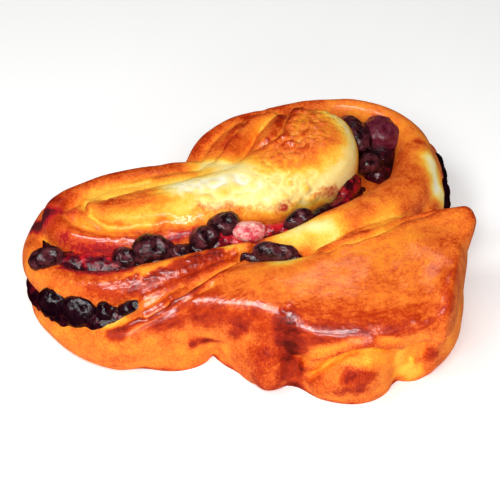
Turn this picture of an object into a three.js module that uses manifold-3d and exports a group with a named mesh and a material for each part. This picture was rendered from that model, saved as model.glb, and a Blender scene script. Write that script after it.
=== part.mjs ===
// Cherry bun: a rolled, folded and opened yeast bun with pitted sour cherries and their jam in its grooves.
// Millimetres, +Z up. The bun stands on its flat baked base at Z = 0, with the folded-over tail towards -Y.
import * as THREE from 'three';
import { mergeVertices } from 'three/addons/utils/BufferGeometryUtils.js';
import Module from 'manifold-3d';

// Fit between pieces, and the fineness of the solids.
const GAP = 0.3;
const SIDES = 12;
const SPANS_PER_STATION = 1;
const CAP_SEGMENTS = 2;
const CHERRY_SIDES = 10;
const CHERRY_RINGS = 6;
const SWELLING_SIDES = 12;
const SWELLING_RINGS = 8;
const BELOW = 60; // depth of the block that trims the base flat
const REACH = 300; // width of that block, beyond the bun on every side
const LEVEL_TANGENT = 0.3; // a strand's sections stay close to upright where its path climbs
const CURVE_TENSION = 0.5; // the usual Catmull-Rom value
const DEFAULT_BOXY = 2.3; // exponent of a section: 2 is an ellipse, more is squarer
const DEFAULT_CAP = 1.0; // length of a strand's rounded end, in half widths

// Strands of dough. Each station is [x, y, crest height, half width, half height, roll in degrees].
const TONGUE_LEFT = { boxy: 2.4, stations: [
  [-51, 2.5, 34.5, 7, 12, 0], [-45, 2.5, 35.5, 9, 12, 0], [-35, 4, 36.5, 11, 12, 0],
  [-20, 7, 37.5, 12.5, 12, 0], [-6, 12, 38, 13, 12, 0], [6, 16, 39, 13, 12, 0] ] };
const TONGUE_SEAM = { stations: [
  [-54, 10, 31, 4, 10, 0], [-47, 13, 32, 5, 10, 0], [-38, 16, 33.2, 5, 10, 0], [-27, 19, 34, 5, 10, 0],
  [-16, 21, 34, 5, 10, 0] ] };
const INNER_BAND = { stations: [
  [-15, -4, 32.5, 4.5, 12, 0], [-29, -6.5, 32, 5, 12, 0], [-40, -7.5, 31.5, 5, 12, 0],
  [-50, -7, 31, 5, 12, 0], [-58, -4, 31, 5, 12, 0], [-64, 4, 31, 5, 12, 0], [-62, 12, 31.5, 5.5, 12, 0],
  [-52, 18.5, 32.5, 6, 12, 0], [-40, 22, 33.5, 6.5, 12, 0], [-28, 25, 33.5, 7, 12, 0],
  [-18, 27, 33, 7, 12, 0] ] };
const GLAZED_RIDGE = { stations: [
  [0, -12.5, 31.5, 3, 11, 0], [-8, -15, 31.5, 4, 11, 0], [-16, -17.5, 31, 5.5, 11, 0],
  [-25, -20.5, 30, 6.5, 10.5, 0], [-36, -23, 28.5, 6.5, 10, 0], [-46, -23.5, 27, 6.5, 9.3, 0],
  [-57, -20.5, 25.5, 6, 7.3, 0], [-65.5, -14, 24.5, 5.5, 6, 0], [-70, -6, 23.5, 4.8, 5.5, 0],
  [-70, 5, 22.5, 4.8, 5.5, 0], [-66, 17, 22.5, 5, 6, 0], [-57, 25, 22.5, 5, 6.5, 0],
  [-45, 29, 22.5, 5, 8, 0], [-30, 32, 23, 5, 10, 0] ] };
const LEFT_WALL = { stations: [
  [-4, -26, 29, 6, 15, 0], [-12, -29, 28.5, 6.5, 14, 0], [-22, -31.5, 26.5, 7, 13.5, 0],
  [-31, -33.5, 22.5, 7, 11.5, 0], [-40, -34.5, 18.5, 7, 10, 0], [-47.5, -32.5, 15.5, 7, 8, 0],
  [-54.5, -28, 13.5, 6.5, 7, 0], [-60, -21.7, 12.7, 6.6, 6.5, 0], [-65, -14.7, 12.7, 6.3, 6.5, 0],
  [-66.5, -6, 13, 6, 6.5, 0], [-65.5, 6, 13.5, 6, 7, 0], [-61.5, 17, 14, 7, 8, 0],
  [-54, 26, 14.5, 7, 9, 0], [-42, 32, 15.5, 7, 9, 0], [-26, 35, 17, 7, 10, 0] ] };
const RIGHT_BAND = { stations: [
  [-19, 33, 31, 5, 14, 0], [-15, 43, 33, 5, 14, 0], [-5, 52, 34, 5, 14, 0], [7, 57, 34.5, 5, 14, 0],
  [21, 61, 35, 4.5, 14, 0], [36, 62, 35, 4.5, 14, 0], [48.5, 57.5, 34, 5.5, 14, 0],
  [56, 48, 33.5, 6.5, 14, 0], [57, 36, 33.5, 8, 14, 0], [54, 22, 34.5, 9, 14, 0],
  [46, 10, 35.5, 9.5, 14, 0], [36, 1, 36, 9.5, 14, 0], [24, -6, 35.5, 9, 14, 0],
  [12, -10.5, 33.5, 6, 13, 0], [5, -12, 32.5, 4, 13, 0] ] };
const RIGHT_BAND_WALL = { stations: [
  [60.8, 47, 27, 5.8, 9, 0], [61.7, 36, 27, 5.8, 9, 0], [60.7, 24, 27, 5.8, 9, 0],
  [57.5, 14, 27, 5.5, 9, 0] ] };
const DOME = { boxy: 2.5, cap: 0.55, stations: [
  [2, 16, 38.5, 13, 14, 0], [11.5, 25, 41, 16.5, 15, 0], [18.5, 34.5, 42.5, 18.5, 15, 0],
  [20.5, 44.5, 42, 16.5, 15, 0] ] };
const DOME_FOLD = { stations: [
  [-8, 26, 36, 6, 14, 0], [-6, 36, 37, 6, 14, 0], [-1, 46, 37, 5.5, 14, 0], [8, 53, 36.5, 4, 14, 0] ] };
const RIGHT_WALL = { stations: [
  [-18, 40, 18, 7, 11, 0], [-10, 51, 17, 7, 11, 0], [0, 58.5, 16, 7, 11, 0], [16, 64, 16, 7, 11, 0],
  [34, 64, 16, 7, 11, 0], [49, 59, 15.5, 7, 11, 0], [59, 49, 15, 7, 11, 0], [62.5, 36, 15, 7, 10, 0],
  [61.5, 20, 15, 7, 10, 0] ] };
const TAIL = { boxy: 2.9, cap: 0.1, stations: [
  [-19, -25, 26.5, 4, 10, 0], [-9, -27.5, 30, 8.5, 12, 0], [2, -29, 32, 12.5, 12.5, 0],
  [12, -32, 33, 15.5, 11, -6], [22, -33.7, 33.5, 18.7, 8.5, -10], [33, -31.3, 33.5, 20.8, 7.5, -11],
  [45, -26.3, 33.5, 23.3, 7.5, -10], [54, -22.2, 33.5, 24.7, 9, -8], [61, -21.5, 34, 24, 10.5, -4],
  [66, -22.5, 34.5, 22, 10, -2] ] };
const TAIL_CORE = { stations: [
  [8, -33, 24, 9, 12, 0], [20, -35, 24, 9, 12, 0], [33, -36.5, 24, 9, 12, 0], [46, -35.5, 24, 9, 12, 0],
  [56, -31, 24, 9, 12, 0] ] };
const TAIL_CORNER = { stations: [
  [50, -6, 33, 7, 6, 0], [60, -2.5, 34.5, 6, 5, 0], [69.5, -0.5, 36.2, 3.5, 4, 0] ] };
const TAIL_EDGE = { stations: [
  [70.5, -2.5, 36, 2.8, 4, 0], [68.5, -9, 35.2, 3, 5, 0], [65.5, -17, 34.2, 3, 7, 0],
  [63, -27, 32.5, 4, 9, 0] ] };
const TAIL_UNDER = { stations: [
  [17, -43, 15, 5, 9, 0], [24.5, -45.5, 19.5, 8, 12, 0], [33, -46.5, 21.5, 9, 13, 0],
  [40, -44.5, 19, 7, 12, 0], [44.5, -42.5, 15, 3, 9, 0] ] };
const TAIL_LUMP = { boxy: 2.0, stations: [
  [-1, -32.5, 24, 9.4, 13.5, 0], [3.6, -38.5, 23, 9.2, 13.5, 0], [7, -42, 21, 8.5, 12, 0] ] };
const TAIL_END = { cap: 0.5, stations: [
  [52, -38, 26, 9, 14, 0], [59.5, -28, 28.5, 8.5, 15, 0], [61, -8, 28, 8, 15, 0] ] };
const RIDGE_JOIN = { stations: [
  [-33, -29.5, 24.5, 3.5, 9, 0], [-22, -26, 27.5, 4.5, 9, 0], [-8, -20.5, 30, 4.5, 9, 0],
  [2, -18.5, 29, 4, 9, 0] ] };
const SHOULDER = { stations: [
  [-24, -32.5, 27, 4, 9, 0], [-14, -32.5, 29, 6.5, 9.5, 0], [-3, -34, 30.8, 8, 10, 0],
  [6, -36.5, 32, 8, 10, 0] ] };
const LEFT_END = { stations: [
  [-59, 3, 30.5, 5, 10, 0], [-55, 4, 32, 6.5, 10, 0], [-50, 6, 33, 7, 10, 0] ] };
const REAR_FOLD = { stations: [
  [-14, 28, 32.5, 5, 12, 0], [-11, 38, 33.5, 5, 12, 0], [-3, 48, 34.5, 4.5, 12, 0] ] };
const STRANDS = [TONGUE_LEFT, TONGUE_SEAM, INNER_BAND, GLAZED_RIDGE, LEFT_WALL, RIGHT_BAND,
  RIGHT_BAND_WALL, DOME, DOME_FOLD, RIGHT_WALL, TAIL, TAIL_CORE, TAIL_CORNER, TAIL_EDGE, TAIL_UNDER,
  TAIL_LUMP, TAIL_END, RIDGE_JOIN, SHOULDER, LEFT_END, REAR_FOLD];

// Swellings of dough under and between the strands: [x, y, z, half x, half y, half z] of each ellipsoid.
const SWELLINGS = [
  [-34, 0, 2, 31, 30, 22], [22, 28, 2, 38, 34, 22], [25, -25, 2, 39, 22, 18], [-6, 4, 2, 24, 31, 26],
  [-8, 20, 22, 15, 15, 14], [4, -22, 16, 16, 10, 14], [50, -36, 3, 8, 8, 12],
  [-25, -31.5, 3, 13, 8.5, 9],
];

// Ribbons of cherry jam in the grooves, stations as above.
const JAM_INNER = { stations: [
  [-43, 27, 22, 3, 2.4, 0], [-55, 22, 21.5, 3.2, 2.2, 0], [-64.5, 13, 21.5, 3.2, 2.2, 0],
  [-66.5, 2, 22, 3.2, 2.4, 0], [-64, -7.5, 24, 3.8, 3.4, 0], [-57.5, -12, 26, 4.2, 5, 0],
  [-50, -14.2, 26.4, 4.6, 6, 0], [-41.5, -14.8, 26.5, 4.8, 6, 0], [-33, -14.2, 27, 4.6, 6, 0],
  [-24, -12.6, 28, 4, 6.5, 0], [-13, -8.6, 30, 4.4, 6.5, 0], [-4, -5.6, 31, 4.4, 6.5, 0],
  [6, -3.6, 31, 3.8, 6.5, 0], [16, 0.6, 30.5, 3.4, 6.5, 0], [24, 7, 29.5, 3.4, 6.5, 0],
  [31, 16, 27.6, 3.6, 6.5, 0], [36.5, 26, 22.5, 4, 6.5, 0], [41.5, 36, 20.5, 5.5, 7, 0],
  [43.5, 44, 27, 8.2, 7.5, 0], [42, 51, 29, 8.6, 8, 0], [33, 56.5, 30, 6.5, 7.5, 0],
  [25, 58, 30.5, 4, 7, 0], [17, 57.5, 30, 2.5, 6, 0] ] };
const JAM_LEFT = { stations: [
  [-31, -31, 22, 2.4, 5, 0], [-38, -31, 20.2, 3.8, 6, 0], [-46, -30.8, 18.6, 4.8, 6.4, 0],
  [-54.5, -26.8, 17, 5.2, 5.8, 0], [-61.4, -21.3, 16.8, 5, 5.4, 0], [-67.6, -13.6, 17, 4.8, 5.4, 0],
  [-70, -3.6, 16, 3.8, 4.2, 0], [-68.6, 8, 14.8, 3.4, 3.2, 0], [-64, 19.5, 14.8, 3.4, 3.2, 0],
  [-55.5, 28, 15, 3.4, 3, 0], [-42, 33, 16, 3.2, 3.2, 0] ] };
const JAM_RIGHT = { stations: [
  [-14, 50, 19, 2.6, 4.5, 0], [-1, 60.5, 19, 3, 4.5, 0], [16, 66, 19, 3, 4.5, 0],
  [34, 66.5, 19, 3, 4.5, 0], [50.5, 61.5, 19, 3.2, 4.5, 0], [61.5, 51, 19, 3.6, 5, 0],
  [65.5, 38, 19, 4, 5, 0], [64.5, 24, 18.5, 3.6, 5, 0] ] };
const JAM_SEAM = { stations: [
  [-2, -17.2, 31, 1.6, 4, 0], [4, -17.2, 31.4, 2.6, 5, 0], [12, -17.4, 31.4, 2.6, 5, 0],
  [16, -18, 31, 1.6, 4, 0] ] };

// Cherries: [name, x, y, z, half x, half y, half z, turn about Z in degrees].
const CHERRIES = [
  ['groove_left_a', -65.2, -12.6, 24.8, 6, 4.6, 4.6, 12],
  ['groove_left_b', -40.4, -14, 25.6, 4.4, 4.4, 4.8, 0],
  ['groove_left_c', -31.6, -11.6, 27, 8.4, 5.4, 5.6, 8],
  ['groove_left_d', -22.6, -13, 28.2, 3.4, 2.6, 2.8, 20],
  ['groove_mid_a', -14.4, -8.8, 30, 5.6, 4.6, 4.6, 14],
  ['groove_mid_b', -8.6, -3.6, 31.2, 6, 4.8, 4.6, 30],
  ['groove_mid_c', -0.4, -6.2, 31.2, 5.8, 4.4, 3.2, 12],
  ['groove_mid_d', 15.4, -0.4, 31, 5.8, 3.4, 4, 32],
  ['seam', 8, -17.2, 31.2, 7.8, 3.4, 4, 0],
  ['wall_left_a', -62.6, -22.6, 16.2, 5.6, 5.4, 6, 30],
  ['wall_left_b', -54, -28.2, 16, 7, 4.8, 6, -20],
  ['wall_left_c', -45.4, -30, 17.2, 4.8, 3.8, 4.4, 0],
  ['wall_left_d', -38.2, -30.6, 19, 5.2, 3, 3.6, 8],
  ['back_a', 36.4, 48.6, 30.2, 5.2, 9.4, 5.4, 18],
  ['back_b', 46, 50.4, 29.2, 8, 8.4, 5.4, -16],
  ['back_c', 41.4, 39.4, 24, 5.2, 4.8, 4.2, 0],
  ['back_d', 33.6, 23.6, 25.4, 3.4, 6.8, 3.4, -32],
  ['back_top', 23.4, 62, 31, 6.4, 3.2, 3, 6],
  ['wall_right_a', 64.4, 41, 20.2, 4.2, 8.6, 5.6, 6],
  ['wall_right_b', 64.8, 28, 19.2, 4, 7.4, 5.2, 0],
  ['wall_rear_a', 12, 67, 19.8, 5, 3.4, 3.8, 4],
  ['wall_rear_b', -47, 30.6, 17.8, 5, 3.4, 3.6, -22],
];

const wasm = await Module();
wasm.setup();

/** One closed solid from a three.js geometry, its seams and poles welded. */
function solidOf(geometry) {
  geometry.deleteAttribute('uv');
  geometry.deleteAttribute('normal');
  const welded = mergeVertices(geometry);
  const corners = welded.index.array;
  const kept = [];
  for (let i = 0; i < corners.length; i += 3) {
    const [a, b, c] = [corners[i], corners[i + 1], corners[i + 2]];
    if (a !== b && b !== c && c !== a) kept.push(a, b, c);
  }
  const vertProperties = new Float32Array(welded.attributes.position.array);
  return new wasm.Manifold(new wasm.Mesh({ numProp: 3, vertProperties, triVerts: new Uint32Array(kept) }));
}

/** A smooth curve through rows of three numbers. */
function curveThrough(rows) {
  const points = rows.map((row) => new THREE.Vector3(...row));
  return new THREE.CatmullRomCurve3(points, false, 'catmullrom', CURVE_TENSION);
}

/**
 * A strand of dough or jam: a unit capsule laid along the stations, its section a superellipse.
 * `grow` thickens it all round.
 */
function strand({ stations, boxy = DEFAULT_BOXY, cap = DEFAULT_CAP }, grow = 0) {
  const spans = (stations.length - 1) * SPANS_PER_STATION;
  const centres = curveThrough(stations.map(([x, y, crest, , halfHeight]) => [x, y, crest - halfHeight]));
  const sizes = curveThrough(stations.map((station) => station.slice(3)));
  const geometry = new THREE.CapsuleGeometry(1, spans, CAP_SEGMENTS, SIDES, spans);
  const position = geometry.attributes.position;
  const up = new THREE.Vector3(0, 0, 1);
  const point = new THREE.Vector3();
  for (let i = 0; i < position.count; i++) {
    const column = i % (SIDES + 1);
    const source = column === SIDES ? i - SIDES : i;
    const y = position.getY(i);
    if (source !== i) {
      position.setXYZ(i, position.getX(source), position.getY(source), position.getZ(source));
      continue;
    }
    const along = THREE.MathUtils.clamp(y / spans + 0.5, 0, 1);
    const past = y - (along - 0.5) * spans;
    const radius = Math.hypot(position.getX(i), position.getZ(i));
    const angle = (column / SIDES) * 2 * Math.PI;
    const squared = (value) => Math.sign(value) * Math.abs(value) ** (2 / boxy) * radius;
    const size = sizes.getPoint(along);
    const width = size.x + grow;
    const height = size.y + grow;
    const roll = THREE.MathUtils.degToRad(size.z);
    const tangent = centres.getTangent(along);
    tangent.z *= LEVEL_TANGENT;
    tangent.normalize();
    const side = tangent.clone().cross(up).normalize();
    const rise = side.clone().cross(tangent);
    const across = -squared(Math.cos(angle)) * width;
    const above = squared(Math.sin(angle)) * height;
    point.copy(centres.getPoint(along)).addScaledVector(tangent, past * (cap * size.x + grow));
    point.addScaledVector(side, across * Math.cos(roll) - above * Math.sin(roll));
    point.addScaledVector(rise, across * Math.sin(roll) + above * Math.cos(roll));
    position.setXYZ(i, point.x, point.y, point.z);
  }
  return solidOf(geometry);
}

/** An ellipsoid; `turn` is about Z in degrees. */
function ellipsoid(x, y, z, halfX, halfY, halfZ, turn, sides, rings) {
  const geometry = new THREE.SphereGeometry(1, sides, rings);
  geometry.rotateX(Math.PI / 2);
  geometry.scale(halfX, halfY, halfZ);
  geometry.rotateZ(THREE.MathUtils.degToRad(turn));
  geometry.translate(x, y, z);
  return solidOf(geometry);
}

function cherry([, x, y, z, halfX, halfY, halfZ, turn], grow = 0) {
  return ellipsoid(x, y, z, halfX + grow, halfY + grow, halfZ + grow, turn, CHERRY_SIDES, CHERRY_RINGS);
}

function union(solids) {
  return solids.reduce((sum, solid) => sum.add(solid));
}

/** The largest of a solid's separate bodies, so a crumb left by a cut isn't kept. */
function largestBody(solid) {
  return solid.decompose().reduce((best, body) => (body.volume() > best.volume() ? body : best));
}

const groundBlock = solidOf(new THREE.BoxGeometry(REACH, REACH, BELOW).translate(0, 0, -BELOW / 2));

const fruit = CHERRIES.map((row, i) => {
  const earlier = CHERRIES.slice(0, i).map((other) => cherry(other, GAP));
  return largestBody(earlier.reduce((solid, other) => solid.subtract(other), cherry(row)));
});
const fruitSockets = union(CHERRIES.map((row) => cherry(row, GAP)));

const RIBBONS = [
  ['filling_inner', JAM_INNER],
  ['filling_left', JAM_LEFT],
  ['filling_right', JAM_RIGHT],
  ['filling_seam', JAM_SEAM],
];
const jam = RIBBONS.map(([, ribbon]) => largestBody(strand(ribbon).subtract(fruitSockets)));
const ribbonSockets = union(RIBBONS.map(([, ribbon]) => strand(ribbon, GAP)));

const swellings = SWELLINGS.map((row) => ellipsoid(...row, 0, SWELLING_SIDES, SWELLING_RINGS));
const dough = largestBody(union([...STRANDS.map((row) => strand(row)), ...swellings])
  .subtract(groundBlock).subtract(ribbonSockets).subtract(fruitSockets));

/** The material of one slot. */
function slotMaterial(name, color, roughness) {
  return new THREE.MeshStandardMaterial({ name, color, roughness, metalness: 0 });
}

const crust = slotMaterial('dough', '#d9822b', 0.45);
const filling = slotMaterial('filling', '#7a1224', 0.2);
const fruitSkin = slotMaterial('cherry', '#2b1220', 0.3);

/** A named mesh from a solid. */
function meshOf(name, solid, material) {
  const { vertProperties, triVerts, numProp } = solid.getMesh();
  const positions = new Float32Array((vertProperties.length / numProp) * 3);
  for (let i = 0; i < positions.length / 3; i++) {
    positions.set(vertProperties.subarray(i * numProp, i * numProp + 3), i * 3);
  }
  const geometry = new THREE.BufferGeometry();
  geometry.setAttribute('position', new THREE.BufferAttribute(positions, 3));
  geometry.setIndex(new THREE.BufferAttribute(new Uint32Array(triVerts), 1));
  geometry.computeVertexNormals();
  const mesh = new THREE.Mesh(geometry, material);
  mesh.name = name;
  return mesh;
}

const group = new THREE.Group();
group.name = 'cherry_bun';
group.add(meshOf('dough', dough, crust));
RIBBONS.forEach(([name], i) => group.add(meshOf(name, jam[i], filling)));
CHERRIES.forEach(([name], i) => group.add(meshOf(`cherry_${name}`, fruit[i], fruitSkin)));

// The origin is under the middle of the whole bun's box, on the surface it stands on.
const box = new THREE.Box3().setFromObject(group);
const middle = box.getCenter(new THREE.Vector3());
for (const mesh of group.children) mesh.geometry.translate(-middle.x, -middle.y, -box.min.z);

export default group;
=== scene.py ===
"""A glazed and baked bun of folded yeast dough, its grooves filled with sour cherries and their jam.

The dough's strands are laid out in millimetres in the baker's own layout, and are moved onto the frame.
"""

import math

import bmesh
import bpy
import numpy as np
from bpy.props import FloatProperty, FloatVectorProperty, PointerProperty
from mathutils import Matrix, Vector, noise


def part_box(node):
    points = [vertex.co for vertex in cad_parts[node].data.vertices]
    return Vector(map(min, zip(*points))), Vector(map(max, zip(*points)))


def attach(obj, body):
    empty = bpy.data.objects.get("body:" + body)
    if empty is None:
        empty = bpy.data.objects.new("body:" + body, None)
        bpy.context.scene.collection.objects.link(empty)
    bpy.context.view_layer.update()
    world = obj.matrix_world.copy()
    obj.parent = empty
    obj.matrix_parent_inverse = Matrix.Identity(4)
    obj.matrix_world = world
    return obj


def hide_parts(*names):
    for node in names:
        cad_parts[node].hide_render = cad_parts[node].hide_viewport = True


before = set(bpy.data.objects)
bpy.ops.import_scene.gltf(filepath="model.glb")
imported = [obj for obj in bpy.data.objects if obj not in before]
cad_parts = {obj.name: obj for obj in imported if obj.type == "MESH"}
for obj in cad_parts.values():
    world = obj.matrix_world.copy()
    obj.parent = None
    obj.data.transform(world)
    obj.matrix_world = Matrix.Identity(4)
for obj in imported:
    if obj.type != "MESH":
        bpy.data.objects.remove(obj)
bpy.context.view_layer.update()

bl_info = {
    "name": "Cherry Bun",
    "version": (1, 0, 0),
    "blender": (4, 5, 0),
    "location": "3D View > Sidebar > Cherry Bun",
    "description": "Makes a glazed cherry bun around its packed frame, and the stage it stands on",
    "category": "Object",
}

MM = 0.001
BODY = "root"
TORN_CHERRY = "cherry_groove_mid_c"
SPLIT_CHERRY = "cherry_back_b"
BURST_CHERRY = "cherry_back_d"
# Where the layout has the cherry in the seam, which ties the layout to the frame.
SEAM_CHERRY = Vector((8.0, -17.2, 31.2))
# How much of a strand's climb its sections lean with, so that they stay close to upright.
LEVEL_TANGENT = 0.3
# How often a rubbed seam is gone over, and how often for a surface with no detail left on it.
RUBS = 40
DETAIL_RUBS = 14
# A place so wide that it takes in the whole bun.
EVERYWHERE = [([(0, 0, 0)], 1e6)]
# The widths of a ring blister's wall and of the dimple inside it, in millimetres, and the dimple's share of
# the ring's height.
RING_WALL = 0.6
DIMPLE = 0.7
DIMPLE_DEPTH = 0.6
# The hole left by the pitting tool, in millimetres, and where it is between a cherry's middle and its corner.
PIT_DEPTH = 1.1
PIT_REACH = 2.6
PIT_PLACE = [0.2, -0.45, 0.8]
# The camera aims this high above the table, and the floor reaches this far, in millimetres.
AIM_HEIGHT = 18
FLOOR_REACH = 1500

# ----------------------------------------------------------------------------------------------------
# The dough's layout. A station is (x, y, crest height, half width, half height, roll in degrees).

STRANDS = {
    "left tongue": dict(boxy=2.4, stations=[
        (-51, 2.5, 34.5, 7, 12, 0), (-45, 2.5, 35.5, 9, 12, 0), (-35, 4, 36.5, 11, 12, 0),
        (-20, 7, 37.5, 12.5, 12, 0), (-6, 12, 38, 13, 12, 0), (6, 16, 39, 13, 12, 0)]),
    "tongue seam": dict(stations=[
        (-54, 10, 31, 4, 10, 0), (-47, 13, 32, 5, 10, 0), (-38, 16, 33.2, 5, 10, 0),
        (-27, 19, 34, 5, 10, 0), (-16, 21, 34, 5, 10, 0)]),
    "inner band": dict(stations=[
        (-15, -4, 32.5, 4.5, 12, 0), (-29, -6.5, 32, 5, 12, 0), (-40, -7.5, 31.5, 5, 12, 0),
        (-50, -7, 31, 5, 12, 0),
        (-58, -4, 31, 5, 12, 0), (-64, 4, 31, 5, 12, 0), (-62, 12, 31.5, 5.5, 12, 0),
        (-52, 18.5, 32.5, 6, 12, 0),
        (-40, 22, 33.5, 6.5, 12, 0), (-28, 25, 33.5, 7, 12, 0), (-18, 27, 33, 7, 12, 0)]),
    "glazed ridge": dict(stations=[
        (0, -12.5, 31.5, 3, 11, 0), (-8, -15, 31.5, 4, 11, 0), (-16, -17.5, 31, 5.5, 11, 0),
        (-25, -20.5, 30, 6.5, 10.5, 0),
        (-36, -23, 28.5, 6.5, 10, 0), (-46, -23.5, 27, 6.5, 9.3, 0), (-57, -20.5, 25.5, 6, 7.3, 0),
        (-65.5, -14, 24.5, 5.5, 6, 0), (-70, -6, 23.5, 4.8, 5.5, 0), (-70, 5, 22.5, 4.8, 5.5, 0),
        (-66, 17, 22.5, 5, 6, 0), (-57, 25, 22.5, 5, 6.5, 0), (-45, 29, 22.5, 5, 8, 0),
        (-30, 32, 23, 5, 10, 0)]),
    "left wall": dict(stations=[
        (-4, -26, 29, 6, 15, 0), (-12, -29, 28.5, 6.5, 14, 0), (-22, -31.5, 26.5, 7, 13.5, 0),
        (-31, -33.5, 22.5, 7, 11.5, 0),
        (-40, -34.5, 18.5, 7, 10, 0), (-47.5, -32.5, 15.5, 7, 8, 0), (-54.5, -28, 13.5, 6.5, 7, 0),
        (-60, -21.7, 12.7, 6.6, 6.5, 0), (-65, -14.7, 12.7, 6.3, 6.5, 0), (-66.5, -6, 13, 6, 6.5, 0),
        (-65.5, 6, 13.5, 6, 7, 0),
        (-61.5, 17, 14, 7, 8, 0), (-54, 26, 14.5, 7, 9, 0), (-42, 32, 15.5, 7, 9, 0),
        (-26, 35, 17, 7, 10, 0)]),
    "right band": dict(stations=[
        (-19, 33, 31, 5, 14, 0), (-15, 43, 33, 5, 14, 0), (-5, 52, 34, 5, 14, 0), (7, 57, 34.5, 5, 14, 0),
        (21, 61, 35, 4.5, 14, 0), (36, 62, 35, 4.5, 14, 0), (48.5, 57.5, 34, 5.5, 14, 0),
        (56, 48, 33.5, 6.5, 14, 0),
        (57, 36, 33.5, 8, 14, 0), (54, 22, 34.5, 9, 14, 0), (46, 10, 35.5, 9.5, 14, 0),
        (36, 1, 36, 9.5, 14, 0),
        (24, -6, 35.5, 9, 14, 0), (12, -10.5, 33.5, 6, 13, 0), (5, -12, 32.5, 4, 13, 0)]),
    "right band wall": dict(stations=[
        (60.8, 47, 27, 5.8, 9, 0), (61.7, 36, 27, 5.8, 9, 0), (60.7, 24, 27, 5.8, 9, 0),
        (57.5, 14, 27, 5.5, 9, 0)]),
    "dome": dict(boxy=2.5, cap=0.55, stations=[
        (2, 16, 38.5, 13, 14, 0), (11.5, 25, 41, 16.5, 15, 0), (18.5, 34.5, 42.5, 18.5, 15, 0),
        (20.5, 44.5, 42, 16.5, 15, 0)]),
    "dome fold": dict(stations=[
        (-8, 26, 36, 6, 14, 0), (-6, 36, 37, 6, 14, 0), (-1, 46, 37, 5.5, 14, 0), (8, 53, 36.5, 4, 14, 0)]),
    "right wall": dict(stations=[
        (-18, 40, 18, 7, 11, 0), (-10, 51, 17, 7, 11, 0), (0, 58.5, 16, 7, 11, 0), (16, 64, 16, 7, 11, 0),
        (34, 64, 16, 7, 11, 0), (49, 59, 15.5, 7, 11, 0), (59, 49, 15, 7, 11, 0), (62.5, 36, 15, 7, 10, 0),
        (61.5, 20, 15, 7, 10, 0)]),
    "tail": dict(boxy=2.9, cap=0.1, stations=[
        (-19, -25, 26.5, 4, 10, 0), (-9, -27.5, 30, 8.5, 12, 0), (2, -29, 32, 12.5, 12.5, 0),
        (12, -32, 33, 15.5, 11, -6), (22, -33.7, 33.5, 18.7, 8.5, -10), (33, -31.3, 33.5, 20.8, 7.5, -11),
        (45, -26.3, 33.5, 23.3, 7.5, -10),
        (54, -22.2, 33.5, 24.7, 9, -8), (61, -21.5, 34, 24, 10.5, -4), (66, -22.5, 34.5, 22, 10, -2)]),
    "tail core": dict(stations=[
        (8, -33, 24, 9, 12, 0), (20, -35, 24, 9, 12, 0), (33, -36.5, 24, 9, 12, 0),
        (46, -35.5, 24, 9, 12, 0), (56, -31, 24, 9, 12, 0)]),
    "tail corner": dict(stations=[
        (50, -6, 33, 7, 6, 0), (60, -2.5, 34.5, 6, 5, 0), (69.5, -0.5, 36.2, 3.5, 4, 0)]),
    "tail edge": dict(stations=[
        (70.5, -2.5, 36, 2.8, 4, 0), (68.5, -9, 35.2, 3, 5, 0), (65.5, -17, 34.2, 3, 7, 0),
        (63, -27, 32.5, 4, 9, 0)]),
    "tail under": dict(stations=[
        (17, -43, 15, 5, 9, 0), (24.5, -45.5, 19.5, 8, 12, 0), (33, -46.5, 21.5, 9, 13, 0),
        (40, -44.5, 19, 7, 12, 0), (44.5, -42.5, 15, 3, 9, 0)]),
    "tail lump": dict(boxy=2.0, stations=[
        (-1, -32.5, 24, 9.4, 13.5, 0), (3.6, -38.5, 23, 9.2, 13.5, 0), (7, -42, 21, 8.5, 12, 0)]),
    "tail end": dict(cap=0.5, stations=[
        (52, -38, 26, 9, 14, 0), (59.5, -28, 28.5, 8.5, 15, 0), (61, -8, 28, 8, 15, 0)]),
    "ridge join": dict(stations=[
        (-33, -29.5, 24.5, 3.5, 9, 0), (-22, -26, 27.5, 4.5, 9, 0), (-8, -20.5, 30, 4.5, 9, 0),
        (2, -18.5, 29, 4, 9, 0)]),
    "shoulder": dict(stations=[
        (-24, -32.5, 27, 4, 9, 0), (-14, -32.5, 29, 6.5, 9.5, 0), (-3, -34, 30.8, 8, 10, 0),
        (6, -36.5, 32, 8, 10, 0)]),
    "left end": dict(stations=[
        (-59, 3, 30.5, 5, 10, 0), (-55, 4, 32, 6.5, 10, 0), (-50, 6, 33, 7, 10, 0)]),
    "rear fold": dict(stations=[
        (-14, 28, 32.5, 5, 12, 0), (-11, 38, 33.5, 5, 12, 0), (-3, 48, 34.5, 4.5, 12, 0)]),
}

# Swellings under and between the strands: (x, y, z, half x, half y, half z).
SWELLINGS = [
    (-34, 0, 2, 31, 30, 22), (22, 28, 2, 38, 34, 22), (25, -25, 2, 39, 22, 18), (-6, 4, 2, 24, 31, 26),
    (-8, 20, 22, 15, 15, 14), (4, -22, 16, 16, 10, 14), (50, -36, 3, 8, 8, 12),
    (-25, -31.5, 3, 13, 8.5, 9),
]

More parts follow.
